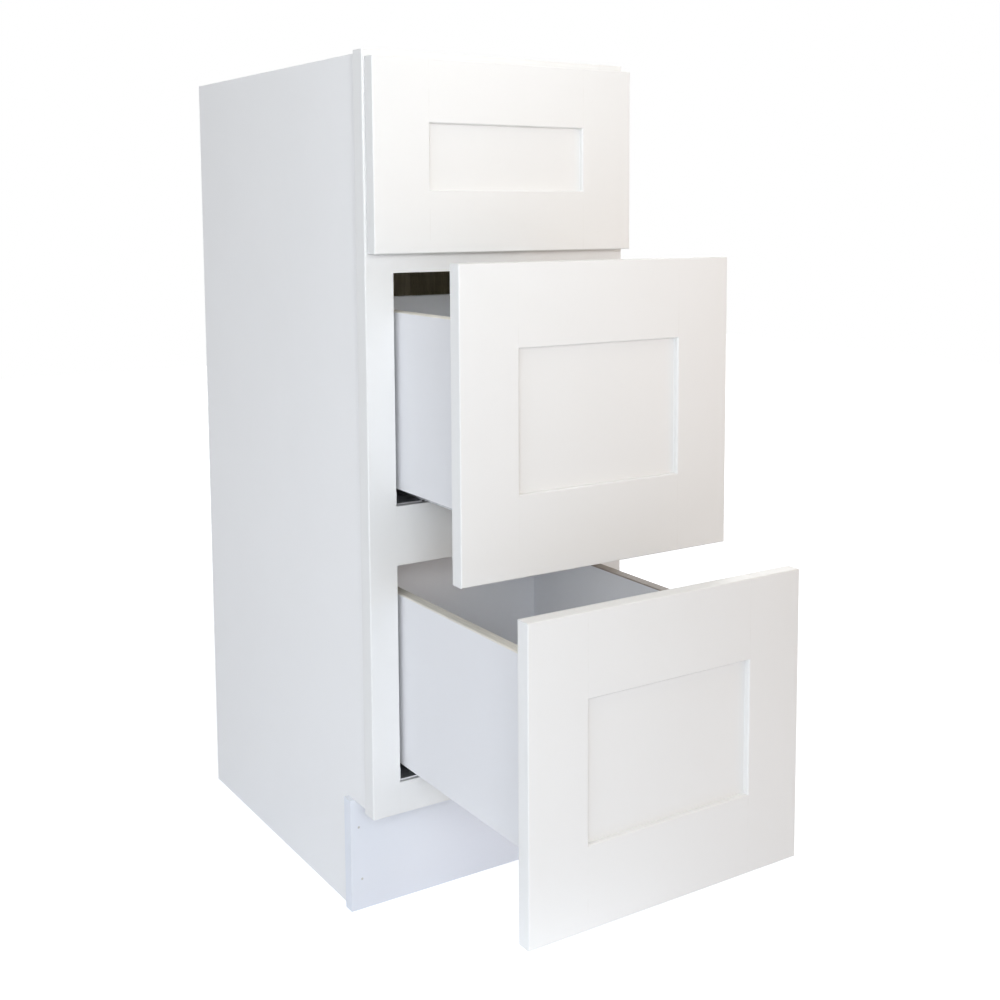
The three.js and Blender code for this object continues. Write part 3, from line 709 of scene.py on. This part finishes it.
for name, node in nodes.items():
    node.data.materials.clear()
    node.data.materials.append(material_of(name))
print("dressed", len(nodes), "nodes")

# %% [markdown]
# ## Screws, nails and staples
#
# Fasteners repeat, so each kind is modelled once and a Geometry Nodes tree puts it on a list of
# points. Every point carries the direction that its head faces, and a seeded random turn keeps
# the screw slots from lining up. The tree ends in Realize Instances and Set Material, and the
# result becomes a plain mesh that rides on one body.

# %% The scatter tree
SCATTER_INPUTS = {"Points": "Geometry", "Pattern": "Object", "Size": "Float",
                  "Turn": "Float", "Seed": "Int", "Material": "Material"}


def build_scatter():
    """A Random Value node has sockets for each data type. Input 3 and output 1 are the float's."""
    tree = bpy.data.node_groups.new("fastener_scatter", "GeometryNodeTree")
    for label, kind in SCATTER_INPUTS.items():
        tree.interface.new_socket(label, in_out="INPUT", socket_type="NodeSocket" + kind)
    tree.interface.new_socket("Mesh", in_out="OUTPUT", socket_type="NodeSocketGeometry")
    given, result = add_node(tree, "NodeGroupInput"), add_node(tree, "NodeGroupOutput")
    info = add_node(tree, "GeometryNodeObjectInfo")
    tree.links.new(given.outputs["Pattern"], info.inputs["Object"])
    direction = add_node(tree, "GeometryNodeInputNamedAttribute", data_type="FLOAT_VECTOR")
    direction.inputs["Name"].default_value = "facing"
    align = add_node(tree, "FunctionNodeAlignRotationToVector", axis="Z")
    tree.links.new(direction.outputs["Attribute"], align.inputs["Vector"])
    spin = add_node(tree, "FunctionNodeRandomValue", data_type="FLOAT")
    tree.links.new(given.outputs["Turn"], spin.inputs[3])
    tree.links.new(given.outputs["Seed"], spin.inputs["Seed"])
    about = add_node(tree, "ShaderNodeCombineXYZ")
    tree.links.new(spin.outputs[1], about.inputs["Z"])
    to_rotation = add_node(tree, "FunctionNodeEulerToRotation")
    tree.links.new(about.outputs[0], to_rotation.inputs[0])
    turned = add_node(tree, "FunctionNodeRotateRotation", rotation_space="LOCAL")
    tree.links.new(align.outputs[0], turned.inputs["Rotation"])
    tree.links.new(to_rotation.outputs[0], turned.inputs["Rotate By"])
    place = add_node(tree, "GeometryNodeInstanceOnPoints")
    tree.links.new(given.outputs["Points"], place.inputs["Points"])
    tree.links.new(info.outputs["Geometry"], place.inputs["Instance"])
    tree.links.new(turned.outputs[0], place.inputs["Rotation"])
    tree.links.new(given.outputs["Size"], place.inputs["Scale"])
    real = add_node(tree, "GeometryNodeRealizeInstances")
    tree.links.new(place.outputs[0], real.inputs[0])
    paint = add_node(tree, "GeometryNodeSetMaterial")
    tree.links.new(real.outputs[0], paint.inputs["Geometry"])
    tree.links.new(given.outputs["Material"], paint.inputs["Material"])
    tree.links.new(paint.outputs[0], result.inputs["Mesh"])
    return tree


scatter_tree = build_scatter()
print("tree", scatter_tree.name)

# %% Putting a pattern on points
def scattered(name, pattern, spots, material, body, turn=0.0, seed=1):
    """spots are (place, direction) rows. turn is the greatest random turn, in radians."""
    mesh = bpy.data.meshes.new(name + "_spots")
    mesh.from_pydata([place for place, _ in spots], [], [])
    attribute = mesh.attributes.new("facing", "FLOAT_VECTOR", "POINT")
    for item, (_, direction) in zip(attribute.data, spots):
        item.vector = direction
    carrier = bpy.data.objects.new(name + "_spots", mesh)
    bpy.context.collection.objects.link(carrier)
    modifier = carrier.modifiers.new("scatter", "NODES")
    modifier.node_group = scatter_tree
    values = {"Pattern": pattern, "Size": 1.0, "Turn": turn, "Seed": seed, "Material": material}
    for item in scatter_tree.interface.items_tree:
        if item.in_out == "INPUT" and item.name in values:
            modifier[item.identifier] = values[item.name]
    bpy.context.view_layer.update()
    shown = carrier.evaluated_get(bpy.context.evaluated_depsgraph_get())
    plain = bpy.data.meshes.new_from_object(shown)
    plain.name = name
    piece = bpy.data.objects.new(name, plain)
    bpy.context.collection.objects.link(piece)
    bpy.data.objects.remove(carrier)
    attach(piece, body)
    print(name, len(spots), "places", len(plain.polygons), "faces")


print("helper: scattered, which fills", list(SCATTER_INPUTS))

# %% [markdown]
# ## Fastener patterns
#
# A pan-head screw is a turned form, so its profile is spun round Z and the cross recess is
# pressed in by moving the vertices near its two slots. A nail set in a painted board leaves a
# shallow dish of filler, and a staple shows only its crown.

# %% Pattern helpers
def mesh_from(form, name):
    """Ends a bmesh, with its faces outwards."""
    bmesh.ops.recalc_face_normals(form, faces=form.faces)
    mesh = bpy.data.meshes.new(name)
    form.to_mesh(mesh)
    form.free()
    return mesh


def hidden_pattern(name, maker, **sizes):
    """A pattern object that only the scatter tree sees."""
    form = bmesh.new()
    maker(form, **sizes)
    pattern = bpy.data.objects.new(name, mesh_from(form, name))
    print("pattern", name, len(pattern.data.vertices), "vertices")
    return pattern


def lathe(form, profile, steps):
    """Spins (radius, height) points round Z. The first and last points lie on the axis."""
    turns = [2 * math.pi * i / steps for i in range(steps)]
    circle = [(math.cos(turn), math.sin(turn)) for turn in turns]
    rings = []
    for radius, height in profile:
        spokes = circle if radius else [(0, 0)]
        rings.append([form.verts.new((radius * x, radius * y, height)) for x, y in spokes])
    for low, high in zip(rings, rings[1:]):
        for i in range(steps):
            j = (i + 1) % steps
            corners = [low[i % len(low)], low[j % len(low)], high[j % len(high)], high[i % len(high)]]
            form.faces.new(list(dict.fromkeys(corners)))


print("helpers: mesh_from, hidden_pattern, lathe")

# %% Screws
# RIM_HEIGHT, CROSS_FLOOR and CROSS_DEPTH are shares of the head's height, CROSS_WIDTH and
# CROSS_REACH are shares of its radius. DISH holds (radius, height) rows. Angles are in degrees.
RIM_HEIGHT = 0.35
DOME_ANGLES = (0, 20, 40, 58, 72)
DISH = [(0.22, 0.94), (0.12, 0.90), (0, 0.88)]
CROSS_WIDTH = 0.13
CROSS_REACH = 0.62
CROSS_FLOOR = 0.6
CROSS_DEPTH = 0.5


def pan_head(form, radius, height):
    """A rim, a dome and a shallow dish, with a cross pressed in."""
    angles = [math.radians(angle) for angle in DOME_ANGLES]
    dome = [(math.cos(a), RIM_HEIGHT + (1 - RIM_HEIGHT) * math.sin(a)) for a in angles]
    shares = [(0, 0), (1, 0)] + dome + DISH
    lathe(form, [(radius * across, height * up) for across, up in shares], steps=24)
    for vert in form.verts:
        across = min(abs(vert.co.x), abs(vert.co.y)) / radius
        reach = max(abs(vert.co.x), abs(vert.co.y)) / radius
        if vert.co.z > height * CROSS_FLOOR and across < CROSS_WIDTH and reach < CROSS_REACH:
            vert.co.z -= height * CROSS_DEPTH


box_screw = hidden_pattern("box_screw", pan_head, radius=4.2 * MM, height=2.4 * MM)
slide_screw = hidden_pattern("slide_screw", pan_head, radius=3.4 * MM, height=1.8 * MM)

# %% Nail and staple
NAIL_PROFILE = [(0, -0.1), (1, -0.1), (1, 0.08), (0.7, 0.1), (0, 0.03)]
CROWN_FLATNESS = 0.7
CROWN_BEVEL = 0.25


def filled_nail(form, radius):
    """A low disc with a dished top. The profile's points are shares of the radius."""
    lathe(form, [(radius * across, radius * up) for across, up in NAIL_PROFILE], steps=16)


def staple_crown(form, length, wire):
    """A bar as wide as the wire, a little flattened and bevelled."""
    size = Matrix.Diagonal((length, wire, wire * CROWN_FLATNESS, 1))
    bmesh.ops.create_cube(form, size=1.0, matrix=size)
    bmesh.ops.bevel(form, geom=form.edges[:], offset=wire * CROWN_BEVEL, segments=2, affect="EDGES")


brad = hidden_pattern("brad", filled_nail, radius=1.3 * MM)
staple = hidden_pattern("staple", staple_crown, length=11 * MM, wire=1.3 * MM)

# %% [markdown]
# ## Where the fasteners go
#
# Four screws hold each front to its box, through the box front and into the front's stiles.
# Each slide has two screws in its front flange and two in its back socket's plate. The toe board
# is nailed to the side panels, and the thin back is stapled along its sides, the floor panel and
# the nailer. All places are worked out from the pieces that the fasteners hold.

# %% Box screws
TO_WALL = (0, 1, 0)
TO_ROOM = (0, -1, 0)
SCREW_TURN = 1.5
SCREW_HEIGHTS = (0.30, 0.78)
SCREW_INSET = 9 * MM


def drawer_screws(drawer):
    """SCREW_HEIGHTS are shares of the box front's height, the inset is from the box's side."""
    low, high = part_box(f"{drawer}_box_front")
    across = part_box(f"{drawer}_box_side_right")[0].x - SCREW_INSET
    rows = [low.z + (high.z - low.z) * share for share in SCREW_HEIGHTS]
    return [((side * across, high.y, z), TO_WALL) for side in SIDES.values() for z in rows]


for drawer in DRAWERS:
    scattered(f"{drawer}_box_screws", box_screw, drawer_screws(drawer), zinc_steel,
              f"drawer_{drawer}", turn=SCREW_TURN, seed=3)

# %% Slide screws
# The tenon, the flange, the socket's drop below the opening's sill and its plate are CAD sizes.
RAIL_TENON = 10 * MM
FLANGE_THICK = 1.6 * MM
SOCKET_DROP = 1.7 * MM
FLANGE_STEPS = (7 * MM, 15 * MM)
FLANGE_RISE = 8 * MM
PLATE_THICK = 3 * MM
PLATE_SHIFTS = (-15 * MM, 15 * MM)
PLATE_RISE = 26 * MM


def slide_screws():
    """Heads on the flanges face the opening's middle, those on the plates face the room."""
    half_opening = abs(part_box("frame_rail_lower")[0].x) - RAIL_TENON
    spots = []
    for drawer in DRAWERS:
        for word, side in SIDES.items():
            low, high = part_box(f"runner_{drawer}_{word}")
            sill = low.z + SOCKET_DROP
            flange = side * (half_opening - FLANGE_THICK)
            for step in FLANGE_STEPS:
                spots.append(((flange, low.y + step, sill + FLANGE_RISE), (-side, 0, 0)))
            middle = (low.x + high.x) / 2
            for shift in PLATE_SHIFTS:
                spots.append(((middle + shift, high.y - PLATE_THICK, sill + PLATE_RISE), TO_ROOM))
    return spots


scattered("runner_screws", slide_screw, slide_screws(), zinc_steel,
          "carcass", turn=SCREW_TURN, seed=5)

# %% Toe nails and back staples
TOE_NAILS = [(2 * MM, 89.5 * MM), (-1 * MM, 33 * MM)]
STAPLE_COUNT = 13
STAPLE_INSET = 4 * MM
STAPLE_END = 30 * MM
STAPLE_ROW = [across * MM for across in (-90, -45, 0, 45, 90)]
FLOOR_MIDDLE = 6.4 * MM
NAILER_MIDDLE = 38 * MM


def toe_nails():
    """TOE_NAILS are (shift out from the side panel's middle, height) rows."""
    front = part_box("toe_kick_board")[0].y
    low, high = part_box("side_panel_left")
    middle = (low.x + high.x) / 2
    return [((side * (middle - shift), front, z), TO_ROOM)
            for side in SIDES.values() for shift, z in TOE_NAILS]


def back_staples():
    """A line up each side of the back, and a row along the floor panel and the nailer."""
    low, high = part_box("back_panel")
    span = high.z - low.z - 2 * STAPLE_END
    spots = []
    for i in range(STAPLE_COUNT):
        z = low.z + STAPLE_END + span * i / (STAPLE_COUNT - 1)
        spots += [((side * (high.x - STAPLE_INSET), high.y, z), TO_WALL) for side in SIDES.values()]
    floor_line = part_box("floor_panel")[0].z + FLOOR_MIDDLE
    nailer_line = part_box("top_nailer")[1].z - NAILER_MIDDLE
    for z in (floor_line, nailer_line):
        spots += [((x, high.y, z), TO_WALL) for x in STAPLE_ROW]
    return spots


# The filler over the nails is the same soft grey as the bumpers.
scattered("toe_nails", brad, toe_nails(), bumper_rubber, "carcass")
scattered("back_staples", staple, back_staples(), zinc_steel, "carcass")

# %% [markdown]
# ## Locking clips and bumpers
#
# Behind each box front, under the bottom, two moulded clips with thumb levers lock the drawer to
# its slides. A lever is the same shape all across, so it is drawn as an outline, given a width
# and softly bevelled. Small rubber dots on the back of each front stop it from knocking on the
# frame. They are turned forms, which the scatter tree repeats like the screws.

# %% Clip helpers
CLIP_BEVEL = 0.5 * MM


def moulded_piece(name, form, material, body):
    mesh = mesh_from(form, name)
    mesh.materials.append(material)
    piece = bpy.data.objects.new(name, mesh)
    bpy.context.collection.objects.link(piece)
    soft = piece.modifiers.new("soft_edges", "BEVEL")
    soft.width = CLIP_BEVEL
    soft.segments = 2
    soft.limit_method = "ANGLE"
    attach(piece, body)
    print(name, len(mesh.polygons), "faces before the bevel")


def extrude_outline(form, outline, low, high):
    """Closes an outline of (y, z) points between two X values."""
    rings = [[form.verts.new((x, y, z)) for y, z in outline] for x in (low, high)]
    count = len(outline)
    form.faces.new(rings[0])
    form.faces.new(rings[1][::-1])
    for i in range(count):
        j = (i + 1) % count
        form.faces.new((rings[0][i], rings[1][i], rings[1][j], rings[0][j]))


print("helpers: moulded_piece, extrude_outline")

# %% Locking clips
# The lever's outline holds (back, up) in millimetres from the line where the box front's rear
# face meets the underside of the box bottom.
LEVER = [(0, 0), (0, -9), (2, -11.5), (6, -12), (22, -12),
         (27, -10.5), (31, -7), (36, -6), (47, -6.5), (48, 0)]
CLIP_GAP = 0.3 * MM
CLIP_NEAR = 3 * MM
CLIP_FAR = 27 * MM
RIDGE_COUNT = 5
RIDGE_PITCH = 4 * MM
RIDGE_BACK = 40 * MM
RIDGE_DROP = 6.6 * MM
RIDGE_SIZE = (1.4 * MM, 12 * MM, 1.0 * MM)


def add_ridges(form, low, front, under):
    """Grip ridges under the lever's rear end, for the thumb."""
    for i in range(RIDGE_COUNT):
        across = low + (i + 1) * RIDGE_PITCH
        place = Matrix.Translation((across, front + RIDGE_BACK, under - RIDGE_DROP))
        bmesh.ops.create_cube(form, size=1.0, matrix=place @ Matrix.Diagonal((*RIDGE_SIZE, 1)))


def locking_clips(drawer):
    """Each clip lies beside its slide member, between CLIP_NEAR and CLIP_FAR of its inner edge."""
    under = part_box(f"{drawer}_box_bottom")[0].z
    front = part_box(f"{drawer}_box_front")[1].y
    outline = [(front + CLIP_GAP + y * MM, under + z * MM) for y, z in LEVER]
    form = bmesh.new()
    for word, side in SIDES.items():
        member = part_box(f"{drawer}_slide_member_{word}")
        inner_edge = member[1].x if side < 0 else member[0].x
        low, high = sorted(inner_edge - side * away for away in (CLIP_NEAR, CLIP_FAR))
        extrude_outline(form, outline, low, high)
        add_ridges(form, low, front, under)
    name = f"{drawer}_locking_clips"
    moulded_piece(name, form, clip_plastic, f"drawer_{drawer}")


for drawer in DRAWERS:
    locking_clips(drawer)

# %% Bumpers
DOT_PROFILE = [(0, 0), (1, 0), (1, 0.6), (0.8, 1), (0, 1)]
DOT_INSET = 12 * MM
DOT_END = 14 * MM


def bumper_dot(form, radius, height):
    """The profile's points are shares of the radius and of the height."""
    lathe(form, [(radius * across, height * up) for across, up in DOT_PROFILE], steps=20)


def bumper_places(drawer):
    """A dot near each corner of the front, on its stiles."""
    low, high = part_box(f"{drawer}_front_stile_left")
    across = abs(low.x) - DOT_INSET
    rows = (low.z + DOT_END, high.z - DOT_END)
    return [((side * across, high.y, z), TO_WALL) for side in SIDES.values() for z in rows]


dot = hidden_pattern("bumper_dot", bumper_dot, radius=4 * MM, height=0.9 * MM)
for drawer in DRAWERS:
    scattered(f"{drawer}_bumpers", dot, bumper_places(drawer), bumper_rubber,
              f"drawer_{drawer}")
